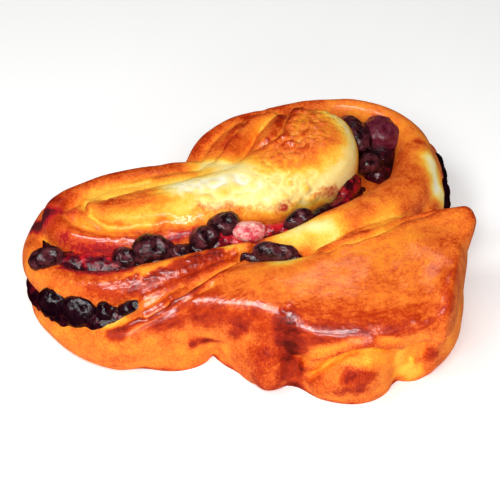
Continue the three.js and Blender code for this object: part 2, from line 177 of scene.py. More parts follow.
# Seams between strands that the baker rubbed smooth: the path's points, and how far to each side.
RUBBED = [
    ([(-9, -36, 12), (-5, -38, 20), (0, -39, 27), (3, -35, 32)], 10),
    ([(3, -47, 22), (12, -50, 24), (24, -51, 24)], 7),
    ([(20, -50, 16), (27, -51, 20), (34, -51, 22), (41, -50, 21), (48, -46, 16)], 6),
    ([(54, -42, 28), (60, -38, 26), (65, -30, 26), (67, -20, 27)], 9),
    ([(60, -36, 12), (66, -26, 12)], 7),
    ([(-34, -39, 2), (-26, -40, 3), (-18, -39, 3)], 9),
    ([(8, -45, 30), (18, -47, 29.5), (30, -48, 29), (42, -46.5, 28.5), (54, -41.5, 28)], 9),
    ([(-18, -34.5, 28), (-10, -34, 29.5), (-2, -36.5, 30.5), (6, -41, 30.5)], 8),
    ([(50, -6, 36), (58, -4, 37), (66, -6, 36), (68, -14, 34)], 7),
    ([(12, 8, 38), (24, 18, 38), (0, 14, 38)], 9),
    ([(-46, 6, 35), (-30, 10, 36), (-14, 15, 36)], 5),
]

# Creases and ridges worked into the skin: the path's points, how far to each side, and how high. A crease's
# height is below 0.
WORKED = [
    # The tongue's outline, and a second fold around it.
    ([(-55, 8, 31.5), (-55, 5, 32.5), (-53, 0, 33), (-50, -2.5, 32.5), (-46, -4.5, 32), (-40, -5.5, 32),
      (-34, -4.5, 32.5), (-26, -3.5, 33.5)], 2, -1.3),
    ([(-52, 4, 34), (-49, 0, 34), (-44, -2, 34), (-36, -2.5, 34.5), (-27, -1.5, 35.5)], 3, 0.5),
    ([(-54, -3, 30.5), (-48, -6.5, 31), (-42, -8, 31), (-35, -7.5, 31.5)], 1.6, -0.5),
    ([(-53, 12, 31), (-48, 14.5, 31.5), (-41, 15.5, 32.5), (-34, 17.5, 33.5)], 2, -0.7),
    # The strip between the glazed ridge and the front lobe.
    ([(-33, -36, 21), (-27.5, -35, 24), (-22, -32, 26.5), (-15.5, -27.5, 28), (-11, -24, 29), (-7, -21, 30),
      (-3, -17.5, 29.5)], 1.8, -1.6),
    ([(-43, -39, 15.5), (-37.5, -39, 17.5), (-31, -37.5, 21), (-25, -36, 24), (-18.5, -33.5, 26.5),
      (-12, -30.5, 29)], 1.5, -0.8),
    ([(-42, -38.5, 17), (-35, -37.5, 20.5), (-26, -35.5, 24), (-17, -31, 27.5), (-9, -26, 30)], 1.5, 0.7),
    # The dome's two folds.
    ([(14, 53, 38), (12, 46, 40), (10.5, 38.5, 41), (9, 34, 41), (6, 31.5, 40),
      (2, 30.5, 38.5)], 2.8, -2.6),
    ([(17, 52, 39), (15.5, 44, 41.5), (14, 38, 42), (12, 32, 41.5), (8, 28.5, 40.5)], 3.5, 0.8),
    ([(4.5, 57, 34), (0, 53, 34), (-3.5, 45, 36.5), (-6.5, 39.5, 36.5), (-9.5, 37, 35),
      (-10.5, 32, 34.5)], 2.4, -2.2),
    ([(2, 50, 36), (-1, 43, 37), (-4, 37, 37), (-7, 32, 36)], 3, 0.5),
    # Where the tail was folded over the right lobe.
    ([(60, 1, 33), (52, -2, 33.5), (48.5, -4.5, 34), (43.5, -9.5, 34.5), (38.5, -13, 35), (33.5, -15.5, 35),
      (28.5, -16.5, 34.5), (24, -20, 34.5)], 1.8, -1.7),
    ([(60, -3, 35), (52, -6.5, 34.5), (45, -12.5, 35), (38, -16, 35), (30, -19.5, 35)], 3, 0.5),
    ([(53, 5.5, 29), (47, -3, 34), (41, -7.5, 35), (34, -10, 35)], 1.6, -0.5),
    # The lip around the open end of the roll, and the roll inside it.
    ([(18.5, -50.5, 9), (21.5, -52, 13.5), (25, -52, 17), (29.5, -52, 20), (34, -51.5, 21),
      (38.5, -50.5, 21), (43.5, -49, 19), (47.5, -46.5, 14.5), (51, -44, 9)], 1.7, -3.2),
    ([(16.5, -49, 11), (19, -50.5, 16), (24, -51.5, 20), (31, -51.5, 23), (38, -50.5, 23.5), (45, -49, 21),
      (49.5, -46, 16), (52.5, -44.5, 9)], 2.6, 1.5),
    ([(22, -53, 6), (27, -55, 11), (32, -55, 13), (37, -54, 12)], 7, 1.4),
    ([(54, -43, 5), (53.5, -43.5, 11), (54, -44.5, 17)], 1.8, -0.8),
    # Folds under the ring and along the tail's lower edge.
    ([(12, -49, 3), (12.5, -49, 10)], 4, -0.7),
    ([(5, -49.5, 5), (4, -48, 14), (5, -46, 22)], 7, 1.5),
]

# Ring blisters: the middle, the ring's radius and its height.
RINGS = [((11.5, -43, 31), 1.7, 0.45), ((51, -44.5, 28), 0.9, 0.25), ((55.5, -44.5, 27), 0.9, 0.25)]

# Blistered patches: the path's points, how far to each side, the blisters' size and their height.
BLISTERED = [
    ([(-47, 3.5, 35), (-42, 6, 35), (-36, 8, 35.5), (-29, 9, 36)], 8, 2.2, 0.55),
    ([(10, 18, 39), (14, 26, 41), (18, 36, 42), (22, 44, 42)], 16, 2.4, 0.9),
    ([(-40, -8, 31), (-28, -5, 32), (-20, -3, 33)], 6, 2, 0.4),
    ([(-38, -26, 27), (-28, -23, 29), (-18, -20, 30), (-6, -17, 30)], 8, 1.6, 0.5),
    ([(-18, 8, 37), (0, 8, 37), (20, 12, 34)], 12, 4, 0.9),
]

# How brown the oven left the crust, from 0, pale crumb, to 1, burnt. A stroke is the path's points, how far
# to each side, the value it brings and how much of it.
BAKING = [
    # The back, the sides and the walls.
    ([(-60, 18, 28), (-40, 27, 30), (-20, 33, 30), (-12, 46, 31), (10, 59, 33),
      (34, 64, 33)], 14, 0.56, 0.8),
    ([(-62, -18, 6), (-50, -32, 6), (-30, -37, 6), (-12, -34, 6)], 14, 0.5, 0.9),
    ([(-58, -27, 10), (-62, -22, 8)], 9, 0.44, 0.9),
    # The left lobe.
    ([(-64, 2, 31), (-61, 10, 31), (-56, 16, 31), (-48, 19, 32), (-38, 23, 33),
      (-28, 26, 33)], 8, 0.6, 0.9),
    ([(-61, -4, 30), (-52, -8, 31), (-44, -9, 31), (-36, -8, 31.5)], 6, 0.56, 0.9),
    ([(-66, 2, 29), (-68, 9, 24), (-64, 10, 29)], 7, 0.74, 0.8),
    ([(-36, -8, 31.5), (-28, -6, 32), (-20, -3, 33)], 5, 0.6, 0.9),
    ([(-52, 8, 33), (-44, 10, 34), (-34, 12, 36), (-24, 13, 37)], 9, 0.36, 1),
    ([(-54, 10, 31), (-49, 13, 31.5), (-43, 14.5, 32.5), (-34, 17, 33.5)], 3.5, 0.24, 0.9),
    ([(-52, 0, 33.5), (-45, -3, 33.5), (-36, -3, 34.5), (-26, -1.5, 35.5), (-16, 0.5, 36)], 4.5, 0.22, 0.9),
    ([(-46, 4, 35), (-42, 6, 35.5), (-36, 8, 36), (-30, 9, 36)], 6, 0.55, 0.95),
    ([(-47, 3, 35), (-43, 4, 35)], 3, 0.72, 0.6),
    ([(-54.5, 5, 33)], 2.6, 0.6, 0.9),
    # The narrow darker line below follows the tongue's outline and is painted shade in its crease.
    ([(-55, 8, 31.5), (-55, 5, 32.5), (-53, -0.5, 33), (-46, -5, 32), (-36, -5.5, 32.5),
      (-26, -4, 33.5)], 1.6, 0.62, 0.7),
    # The glazed ridge.
    ([(-71, -12, 22), (-67, -19, 23), (-60, -22, 24)], 8, 0.42, 0.9),
    ([(-62, -17, 25), (-54, -22, 26), (-44, -26, 26), (-36, -28, 26)], 8, 0.6, 0.9),
    ([(-50, -27, 24), (-44, -29, 23.5), (-38, -30, 24)], 5, 0.68, 0.7),
    ([(-36, -27, 26.5), (-27, -23.5, 29), (-19, -20.5, 30), (-11, -18, 30.5),
      (-4, -16, 30)], 6, 0.72, 0.95),
    ([(-34, -29.5, 24.5), (-26, -27.5, 26), (-18, -24.5, 28)], 3, 0.78, 0.7),
    ([(-62, -25, 13), (-56, -30, 14), (-48, -34, 15.5), (-40, -35.5, 18)], 2.2, 0.16, 0.8),
    ([(-34.5, -31, 23), (-31, -31, 24)], 3, 0.5, 0.8),
    ([(-38, -24, 28), (-31, -22, 29), (-26, -20.5, 30)], 2.2, 0.24, 0.85),
    ([(-24, -19, 30.5), (-15, -16.5, 31)], 1.8, 0.42, 0.7),
    ([(-8, -14.5, 31.5), (-3, -13.5, 31.5)], 3, 0.12, 0.9),
    # The strip and the front lobe.
    ([(-26, -37, 21), (-18, -36.5, 22.5), (-10, -37, 23), (-3, -40, 24), (3, -43, 25)], 7.5, 0.66, 0.95),
    ([(-43, -39, 16), (-37, -38.5, 19), (-31, -37, 21.5), (-25, -36, 24)], 3, 0.66, 0.85),
    ([(-43, -39, 16), (-40.5, -39, 16.5)], 2.8, 0.88, 0.8),
    ([(-22, -33, 27), (-14, -28.5, 28.5), (-7, -23, 30)], 3, 0.66, 0.85),
    ([(2, -37, 31), (-2, -33, 30)], 6, 0.52, 0.8),
    ([(-18, -37.5, 10.5)], 2.6, 0.86, 0.95),
    ([(-14.5, -36.5, 12.5), (-9, -37, 13.5), (-4.5, -39.5, 18), (-1.5, -41, 22)], 2.8, 0.88, 0.85),
    # The middle.
    ([(-22, 10, 37), (-10, 12, 37.5), (0, 12, 38), (12, 12, 38)], 12, 0.03, 1),
    ([(-14, 26, 33), (-8, 22, 36), (0, 18, 38), (10, 10, 36), (20, 12, 33)], 8, 0.1, 0.9),
    ([(-12, 2, 36), (0, 4, 35.5), (12, 4, 34)], 6, 0.08, 0.9),
    ([(-16, -2, 34.5), (-24, -3, 34)], 4, 0.3, 0.6),
    # The dome and the folds beside it.
    ([(12, 24, 41), (16, 32, 42), (20, 42, 42)], 14, 0.5, 1),
    ([(24, 16, 34), (31, 24, 34), (34, 24, 30)], 10, 0.1, 1),
    ([(20, 14, 36), (12, 12, 37)], 7, 0.18, 0.8),
    ([(29, 46, 39), (33.5, 38, 37), (35, 31, 36), (34, 24, 33), (30, 18, 29)], 7.5, 0.1, 1),
    ([(11, 26, 41), (17, 24, 41)], 4, 0.66, 0.5),
    ([(10, 20, 39.5), (20, 21, 39)], 4, 0.5, 0.6),
    ([(12, 46, 40.5), (16, 50, 40), (22, 50, 40)], 5, 0.68, 0.6),
    ([(-2, 42, 36.5), (3, 46, 36), (9, 51, 36)], 4.5, 0.36, 0.95),
    ([(-17, 37, 32), (-14, 43, 33), (-8, 49, 33.5)], 6, 0.6, 0.9),
    ([(-10, 32, 35), (-4, 32, 37)], 4.5, 0.56, 0.9),
    # The two dark lines below follow the dome's creases and are painted shade.
    ([(14, 53, 38), (12, 46, 40), (10.5, 38.5, 41), (9, 34, 41), (6, 31.5, 40)], 2.4, 0.8, 0.9),
    ([(0, 53, 34), (-3.5, 45, 36.5), (-6.5, 39.5, 36.5), (-9.5, 37, 35)], 2.2, 0.8, 0.85),
    # The band around the dome, down to the pale place by the seam.
    ([(32, 61, 35), (42, 59, 34), (52, 53, 33.5), (58, 41, 33)], 9, 0.44, 0.9),
    ([(57, 32, 33), (52, 20, 34), (45, 10, 35)], 9, 0.54, 0.9),
    ([(46, 2, 33.5), (41, -5, 34)], 6, 0.34, 0.9),
    ([(38, 3, 36), (30, -3, 36), (24, -7, 35)], 7, 0.46, 0.9),
    ([(24, -9, 34), (16, -9, 34), (11, -12, 33)], 8, 0.05, 1),
    ([(26, -12, 33), (19, -15, 33)], 4, 0.3, 0.7),
    ([(58.5, 39.5, 33)], 2.8, 0.74, 0.7),
    ([(60, 29, 32.5)], 2.8, 0.7, 0.6),
    ([(50, 22, 34)], 4, 0.7, 0.55),
    ([(36, 0, 36)], 3.5, 0.66, 0.5),
    # The pale strip by the right wall is pale dough, painted paler still as painted light on a side that
    # faces away from the lamps.
    ([(61.5, 30, 31), (63, 22, 27), (65, 24, 16)], 7, 0.02, 1),
    # The tail.
    ([(10, -24, 32), (24, -28, 34), (40, -24, 34.5), (56, -18, 34)], 16, 0.52, 1),
    ([(38, -20, 34.5), (50, -14, 34.5), (60, -8, 34.5)], 6, 0.46, 0.7),
    ([(8, -22.5, 32.5), (14, -21.5, 33)], 4.5, 0.16, 0.9),
    ([(2, -27, 31.5), (12, -30, 33), (18, -36, 33)], 6, 0.46, 0.7),
    ([(28, -19, 34.5), (38, -15, 35), (46, -9, 34.5)], 3.5, 0.36, 0.8),
    ([(26, -38, 32.5), (40, -37, 32.5), (52, -33, 32)], 9, 0.54, 0.95),
    ([(60, -10, 34), (62, -20, 33), (61, -32, 32)], 7, 0.6, 0.8),
    ([(62, -42.5, 26), (64, -36, 28)], 6, 0.56, 0.8),
    ([(68, -3, 35.5), (70, -8, 34), (68, -14, 33)], 5, 0.5, 0.8),
    ([(14, -44, 31), (31, -45, 30.5), (46, -44.5, 29), (57, -40, 29)], 7, 0.6, 0.9),
    ([(15, -50, 24), (24.5, -51.5, 25.5), (36, -51, 26), (46, -48.5, 25)], 4, 0.68, 0.9),
    ([(10.5, -47, 25), (12.5, -49, 18), (13, -49, 10)], 7.5, 0.84, 1),
    ([(12, -47.5, 25), (22, -49, 26.5), (32, -49.5, 27)], 3.4, 0.76, 0.8),
    ([(13, -48, 4), (12.5, -48, 8)], 5, 0.84, 0.9),
    ([(8, -46, 27), (4, -48, 18), (3, -50, 8)], 6, 0.7, 0.7),
    # The swelling under the tail's start.
    ([(-2, -43, 12), (3, -49, 10), (6, -49.5, 4)], 10, 0.6, 0.95),
    ([(2, -45, 17), (5, -45.5, 24)], 5, 0.64, 0.8),
    ([(-6, -38, 9), (-4, -40, 4)], 4.5, 0.38, 0.9),
    # The open end of the roll.
    ([(18, -49.5, 13), (21, -51, 18), (26, -51.5, 21.5), (31, -51.5, 23), (38, -50.5, 23.5), (45, -49, 21),
      (50, -46, 15)], 4.2, 0.46, 1),
    ([(22, -53, 8), (28, -54, 12), (36, -54, 10)], 9, 0.52, 0.95),
    ([(26, -52.5, 16.5), (34, -52, 19), (42, -50.5, 17)], 5, 0.38, 1),
    # The narrow dark line below follows the lip's crease and is painted shade.
    ([(21.5, -52, 13.5), (25, -52, 17), (29.5, -52, 20), (34, -51.5, 21), (38.5, -50.5, 21),
      (43.5, -49, 19), (47.5, -46.5, 14.5)], 1.1, 0.8, 0.8),
    ([(30, -55.5, 14), (37, -55.5, 15)], 3.6, 0.72, 0.85),
    ([(29, -55, 8), (34, -55.5, 9.5)], 3.6, 0.82, 0.75),
    ([(48.5, -47, 11), (50.5, -45, 4)], 5.5, 0.3, 1),
    ([(57, -44.5, 13.5)], 5, 0.76, 0.75),
    ([(60, -42, 8), (58, -43, 4)], 4.5, 0.56, 0.9),
]

# Where the egg wash ran and dried thick: the path's points, and how far to each side.
WASHED = [
    ([(-43, -39, 16.5), (-37, -38, 19.5), (-30, -36, 22.5)], 2.2),
    ([(-28, -35.5, 23), (-18, -34, 25.5), (-9, -35.5, 26), (-1, -38, 27)], 6.5),
    ([(-14.5, -36.5, 12.5), (-9, -37.5, 13.5), (-4.5, -39.5, 18), (-1.5, -41, 22)], 2.2),
    ([(-18, -37.5, 10), (-18, -37, 15)], 1.9),
    ([(10, -46, 27), (12, -49, 18), (13, -49, 8)], 4.2),
    ([(12, -46, 29), (24, -47.5, 29), (36, -47.5, 28.5), (47, -45.5, 27.5), (56, -42, 28)], 4.6),
    ([(-34, -27, 27), (-24, -23, 29.5), (-12, -18.5, 31)], 4.5),
]

# How thickly the egg was brushed on, from 0, bare, to 1, thick and shining. Strokes as for the baking.
GLAZE = [
    ([(-60, -16, 25), (-46, -26, 26), (-30, -25, 28), (-12, -18, 30), (-3, -16, 30)], 8, 0.5, 0.95),
    ([(-70, -10, 22), (-66, -19, 23)], 6, 0.25, 0.8),
    ([(-38, -35, 21), (-26, -36, 22), (-16, -35, 25), (-4, -36, 28), (2, -38, 30)], 8, 1, 0.95),
    ([(-58, -6, 29), (-46, -9, 30), (-34, -7, 31.5), (-20, -3, 33)], 6, 0.85, 0.9),
    ([(-62, 5, 31), (-52, 18, 32), (-34, 24, 33)], 7, 0.5, 0.7),
    ([(8, -34, 33), (24, -34, 34), (40, -32, 34), (56, -26, 33)], 20, 0.7, 0.9),
    ([(12, -48, 27), (30, -49, 28), (46, -47, 27), (58, -40, 28)], 8, 1, 0.95),
    ([(12, -49, 18), (14, -49, 10)], 5, 0.3, 0.8),
    ([(62, -42, 27), (66, -30, 28), (67, -16, 32), (64, -8, 34)], 8, 0.15, 0.9),
    ([(18, -49.5, 13), (21, -51, 18), (26, -51.5, 21.5), (31, -51.5, 23), (38, -50.5, 23.5), (45, -49, 21),
      (50, -46, 15)], 4, 0.05, 0.9),
    ([(12, 26, 41), (16, 32, 42), (22, 44, 42)], 14, 0.75, 0.95),
    ([(-44, 6, 35), (-32, 9, 36)], 7, 0.5, 0.8),
    ([(36, 60, 34), (56, 46, 33), (54, 22, 34), (36, 0, 36)], 8, 0.5, 0.8),
    ([(-14, -36.5, 12.5), (-4.5, -39.5, 18)], 3, 0.8, 0.8),
]

# Juice that ran onto the crust, from 0, none, to 1, thick and nearly black. Strokes as for the baking.
STAIN = [
    ([(-72, 8, 21), (-70, 5, 25), (-66, 4, 29.5)], 5.5, 0.95, 0.95),
    ([(-62, 6, 31), (-58, 3, 31.5)], 3, 0.7, 0.6),
    ([(-60, -6, 28), (-56, -8.5, 27), (-51, -10, 27), (-46, -11.5, 26.5), (-42, -11.5, 27)], 5, 0.6, 1),
    ([(-32, -10.5, 29), (-24, -8.5, 30.5), (-18, -6, 32)], 2.6, 0.9, 0.7),
    ([(-60, -16, 24.5), (-53, -19.5, 25.8), (-45, -22, 27.2), (-38, -21.5, 28.5)], 3, 0.85, 0.85),
    ([(-28, -22, 29.5), (-20, -20.5, 30)], 2.2, 0.5, 0.4),
    ([(-24, -33.5, 25.5), (-16, -29.5, 28), (-8, -24, 30)], 1.8, 0.4, 0.4),
    ([(-16, 0, 35), (-8, 1, 35.5), (0, 0, 34), (6, 1, 33), (10, 2, 32)], 4, 0.5, 0.7),
    ([(12, 4, 33), (20, 9, 33), (28, 16, 30)], 3, 0.9, 0.6),
    ([(28, 14, 27), (33, 22, 26)], 3.5, 0.9, 0.7),
    # The two rows below follow the dome's creases: juice that ran into them, and painted shade.
    ([(14, 53, 37), (12, 46, 40), (10.5, 39, 41)], 1.6, 0.35, 0.6),
    ([(1, 54, 34), (-3.5, 45, 36.5)], 1.5, 0.35, 0.6),
    ([(50, 22, 33.5), (58.5, 39.5, 33)], 2.5, 0.3, 0.5),
    ([(66, -20, 31), (66, -30, 28)], 3, 0.4, 0.6),
    ([(13, -47.5, 6), (13, -49, 12)], 4, 0.35, 0.6),
    ([(-43, -39, 16), (-40.5, -39, 16.5)], 2.8, 0.5, 0.6),
    ([(-18, -37.5, 10.5)], 2.4, 0.35, 0.6),
]

# Where steam raised small blisters under the egg. Strokes as for the baking.
BUBBLED = [
    ([(12, 26, 41), (18, 34, 42), (24, 44, 42)], 15, 1, 0.9),
    ([(-47, 3.5, 35), (-38, 8, 35.5), (-29, 9, 36)], 8, 1, 0.8),
    ([(-60, -18, 26), (-44, -25, 27), (-28, -23, 29), (-8, -17, 30)], 8, 1, 0.9),
    ([(-26, -36, 22), (-12, -35, 26), (0, -37, 30)], 8, 0.5, 0.6),
    ([(14, -46, 28), (32, -46, 30), (50, -42, 29)], 7, 0.6, 0.6),
    ([(-44, -8, 31), (-30, -6, 32), (-18, -2, 33)], 6, 0.7, 0.7),
]

# The lines along which each strand's skin was stretched, which its fine streaks follow.
GRAIN = [
    [(-62, -18, 25), (-46, -25, 27), (-28, -22, 29), (-8, -15, 31)],
    [(-40, -38, 17), (-25, -36, 23), (-10, -33, 27), (0, -30, 31)],
    [(6, -37, 32), (22, -40, 32), (38, -40, 32), (50, -34, 32), (57, -22, 33), (60, -8, 34)],
    [(-58, -5, 30), (-45, -9, 30), (-30, -7, 32), (-16, -3, 33)],
    [(-62, 10, 31), (-50, 18, 32), (-35, 23, 33), (-20, 27, 33)],
    [(-50, 4, 34), (-35, 8, 36), (-15, 12, 37)],
    [(36, 61, 35), (52, 53, 34), (57, 36, 33), (52, 20, 34), (38, 3, 36), (24, -6, 35)],
    [(10, 20, 40), (18, 36, 42)],
]

# Where the jam is thin and bright. Strokes as for the baking.
THIN_JAM = [
    ([(-57, -11, 26), (-50, -13, 26), (-45, -13, 26)], 5, 1, 0.9),
    ([(-6, -6, 31), (2, -5, 31), (10, -1, 31)], 8, 1.2, 1),
    ([(30, 14, 28), (34, 21, 27)], 5, 0.8, 0.9),
    ([(40, 58, 26), (50, 50, 26)], 6, 0.7, 0.8),
]

# The softboxes: the name, the place and the size in metres, the share of the softbox power, and whether the
# glaze mirrors it.
SOFTBOXES = [
    ("overhead softbox", (-0.03, -0.38, 0.4), (0.4, 0.1), 1.08, True),
    ("low softbox", (0.07, -0.5, 0.24), (0.3, 0.05), 0.25, True),
    ("rear softbox", (0.04, 0.28, 0.5), (0.16, 0.1), 0.06, True),
    ("side softbox", (-0.24, -0.14, 0.48), (0.18, 0.14), 0.5, True),
    ("front softbox", (0.15, -0.6, 0.35), (0.6, 0.4), 0.05, False),
]

# Ribbons of jam in the grooves, by the node each stands for. Stations as for the strands.
RIBBONS = {
    "filling_inner": [
        (-43, 27, 22, 3, 2.4, 0), (-55, 22, 21.5, 3.2, 2.2, 0), (-64.5, 13, 21.5, 3.2, 2.2, 0),
        (-66.5, 2, 22, 3.2, 2.4, 0), (-64, -7.5, 24, 3.8, 3.4, 0), (-57.5, -12, 26, 4.2, 5, 0),
        (-50, -14.2, 26.4, 4.6, 6, 0), (-41.5, -14.8, 26.5, 4.8, 6, 0), (-33, -14.2, 27, 4.6, 6, 0),
        (-24, -12.6, 28, 4, 6.5, 0), (-13, -8.6, 30, 4.4, 6.5, 0), (-4, -5.6, 31, 4.4, 6.5, 0),
        (6, -3.6, 31, 3.8, 6.5, 0), (16, 0.6, 30.5, 3.4, 6.5, 0), (24, 7, 29.5, 3.4, 6.5, 0),
        (31, 16, 27.6, 3.6, 6.5, 0),
        (36.5, 26, 22.5, 4, 6.5, 0), (41.5, 36, 20.5, 5.5, 7, 0), (43.5, 44, 27, 8.2, 7.5, 0),
        (42, 51, 29, 8.6, 8, 0),
        (33, 56.5, 30, 6.5, 7.5, 0), (25, 58, 30.5, 4, 7, 0), (17, 57.5, 30, 2.5, 6, 0)],
    "filling_left": [
        (-31, -31, 22, 2.4, 5, 0), (-38, -31, 20.2, 3.8, 6, 0), (-46, -30.8, 18.6, 4.8, 6.4, 0),
        (-54.5, -26.8, 17, 5.2, 5.8, 0), (-61.4, -21.3, 16.8, 5, 5.4, 0), (-67.6, -13.6, 17, 4.8, 5.4, 0),
        (-70, -3.6, 16, 3.8, 4.2, 0), (-68.6, 8, 14.8, 3.4, 3.2, 0), (-64, 19.5, 14.8, 3.4, 3.2, 0),
        (-55.5, 28, 15, 3.4, 3, 0), (-42, 33, 16, 3.2, 3.2, 0)],
    "filling_right": [
        (-14, 50, 19, 2.6, 4.5, 0), (-1, 60.5, 19, 3, 4.5, 0), (16, 66, 19, 3, 4.5, 0),
        (34, 66.5, 19, 3, 4.5, 0),
        (50.5, 61.5, 19, 3.2, 4.5, 0), (61.5, 51, 19, 3.6, 5, 0), (65.5, 38, 19, 4, 5, 0),
        (64.5, 24, 18.5, 3.6, 5, 0)],
    "filling_seam": [
        (-2, -17.2, 31, 1.6, 4, 0), (4, -17.2, 31.4, 2.6, 5, 0), (12, -17.4, 31.4, 2.6, 5, 0),
        (16, -18, 31, 1.6, 4, 0)],
}


# ----------------------------------------------------------------------------------------------------
# Colour and node helpers.

def linear(hex_colour):
    """An sRGB hex colour as linear red, green, blue and alpha."""
    channels = [int(hex_colour[i:i + 2], 16) / 255 for i in (1, 3, 5)]
    return [c / 12.92 if c <= 0.04045 else ((c + 0.055) / 1.055) ** 2.4 for c in channels] + [1.0]


def add(tree, kind, inputs=None, stops=None, **settings):
    """Adds one node. inputs are sockets by name or number, each given a value or an output.

    A node given as an input stands for its first output.
    """
    made = tree.nodes.new(kind)
    for name, value in settings.items():
        setattr(made, name, value)
    if stops:
        elements = made.color_ramp.elements
        while len(elements) < len(stops):
            elements.new(0.5)
        for element, (place, colour) in zip(elements, stops):
            element.position = place
            element.color = colour
    for name, value in (inputs or {}).items():
        if isinstance(value, bpy.types.Node):
            value = value.outputs[0]
        if isinstance(value, bpy.types.NodeSocket):
            tree.links.new(value, made.inputs[name])
        else:
            made.inputs[name].default_value = value
    return made


def new_material(name):
    """An empty node material, its tree and its output node."""
    material = bpy.data.materials.new(name)
    material.use_nodes = True
    tree = material.node_tree
    tree.nodes.clear()
    return material, tree, tree.nodes.new("ShaderNodeOutputMaterial")


# ----------------------------------------------------------------------------------------------------
# Mesh helpers. Points are numpy arrays in millimetres in the layout.

def spline(stations, count):
    """A Catmull-Rom curve through the stations, sampled evenly by station number."""
    rows = np.array(stations, float)
    rows = np.vstack([2 * rows[0] - rows[1], rows, 2 * rows[-1] - rows[-2]])
    spans = len(stations) - 1
    place = np.linspace(0, spans, count)
    first = np.minimum(place.astype(int), spans - 1)
    u = (place - first)[:, None]
    a, b, c, d = rows[first], rows[first + 1], rows[first + 2], rows[first + 3]
    return 0.5 * (2 * b + (c - a) * u + (2 * a - 5 * b + 4 * c - d) * u**2 + (3 * b - a - 3 * c + d) * u**3)


def strand(stations, boxy=2.3, cap=1.0, sides=28, per_span=10, cap_rings=5):
    """A closed strand along the stations, its section a superellipse and its ends round: points and faces."""
    count = per_span * (len(stations) - 1) + 1
    rows = spline(stations, count)
    centre = rows[:, :3].copy()
    width, height, roll = rows[:, 3], rows[:, 4], np.radians(rows[:, 5])
    centre[:, 2] -= height
    tangent = np.gradient(centre, axis=0)
    tangent[:, 2] *= LEVEL_TANGENT
    tangent /= np.linalg.norm(tangent, axis=1)[:, None]
    side = np.cross(tangent, [0, 0, 1.0])
    side /= np.linalg.norm(side, axis=1)[:, None]
    rise = np.cross(side, tangent)
    angle = np.linspace(0, 2 * math.pi, sides, endpoint=False)
    across = np.sign(np.cos(angle)) * np.abs(np.cos(angle)) ** (2 / boxy)
    above = np.sign(np.sin(angle)) * np.abs(np.sin(angle)) ** (2 / boxy)

    def ring(i, past, shrink):
        x = across * width[i] * shrink
        y = above * height[i] * shrink
        turned_x = x * math.cos(roll[i]) - y * math.sin(roll[i])
        turned_y = x * math.sin(roll[i]) + y * math.cos(roll[i])
        return centre[i] + tangent[i] * past + np.outer(turned_x, side[i]) + np.outer(turned_y, rise[i])

    steps = [(q + 1) / (cap_rings + 0.5) * math.pi / 2 for q in range(cap_rings)]
    rings = [ring(0, -math.sin(a) * width[0] * cap, math.cos(a)) for a in reversed(steps)]
    rings += [ring(i, 0.0, 1.0) for i in range(count)]
    rings += [ring(-1, math.sin(a) * width[-1] * cap, math.cos(a)) for a in steps]
    faces = []
    for i in range(len(rings) - 1):
        for j in range(sides):
            k = (j + 1) % sides
            faces.append((i * sides + j, i * sides + k, (i + 1) * sides + k, (i + 1) * sides + j))
    faces.append(tuple(range(sides))[::-1])
    faces.append(tuple((len(rings) - 1) * sides + j for j in range(sides)))
    return np.vstack(rings), faces


def swelling(x, y, z, half_x, half_y, half_z, rounds=4):
    """An ellipsoid's points and faces."""
    ball = bmesh.new()
    bmesh.ops.create_icosphere(ball, subdivisions=rounds, radius=1.0)
    points = np.array([v.co[:] for v in ball.verts]) * [half_x, half_y, half_z] + [x, y, z]
    faces = [tuple(v.index for v in f.verts) for f in ball.faces]
    ball.free()
    return points, faces


def new_object(name, parts, shift):
    """One mesh object from several lots of points and faces, in metres in the frame."""
    points, faces, first = [], [], 0
    for some_points, some_faces in parts:
        points.append(some_points)
        faces += [tuple(i + first for i in face) for face in some_faces]
        first += len(some_points)
    mesh = bpy.data.meshes.new(name)
    mesh.from_pydata((np.vstack(points) * MM + shift).tolist(), [], faces)
    made = bpy.data.objects.new(name, mesh)
    bpy.context.scene.collection.objects.link(made)
    return made


def skin_over(obj, cell, factor, rounds):
    """Remeshes an object's overlapping parts into one skin, softened a little."""
    remesh = obj.modifiers.new("skin", "REMESH")
    remesh.mode = "VOXEL"
    remesh.voxel_size = cell
    smooth = obj.modifiers.new("soften", "SMOOTH")
    smooth.factor = factor
    smooth.iterations = rounds
    bpy.context.view_layer.objects.active = obj
    for modifier in list(obj.modifiers):
        bpy.ops.object.modifier_apply(modifier=modifier.name)


def points_of(obj, shift):
    """An object's points in the layout, in millimetres."""
    flat = np.empty(len(obj.data.vertices) * 3)
    obj.data.vertices.foreach_get("co", flat)
    return (flat.reshape(-1, 3) - shift) / MM


def normals_of(obj):
    """The direction that the skin faces at each of an object's points."""
    flat = np.empty(len(obj.data.vertices) * 3)
    obj.data.vertex_normals.foreach_get("vector", flat)
    return flat.reshape(-1, 3)


def set_points(obj, points, shift):
    """Moves an object's points to new places in the layout."""
    obj.data.vertices.foreach_set("co", (points * MM + shift).ravel())
    obj.data.update()


def rub_smooth(obj, points, places, rounds):
    """Averages each point near the places with its neighbours, as a thumb rubs a seam out of dough."""
    near = np.zeros(len(points))
    for path, reach in places:
        near = np.maximum(near, fade(distance_to(points, path), reach))
    edges = np.empty(len(obj.data.edges) * 2, int)
    obj.data.edges.foreach_get("vertices", edges)
    here = np.concatenate([edges[0::2], edges[1::2]])
    there = np.concatenate([edges[1::2], edges[0::2]])
    count = np.bincount(here, minlength=len(points))[:, None]
    for _ in range(rounds):
        sums = np.stack([np.bincount(here, points[there, axis], len(points)) for axis in range(3)], axis=1)
        points = points + (sums / count - points) * near[:, None]
    return points


def noise_at(points, size, offset=0.0):
    """Smooth noise from -1 to 1 at each point, with features of that size in millimetres."""
    scaled = (points / size + offset).tolist()
    return np.array([noise.noise(Vector(p)) for p in scaled])


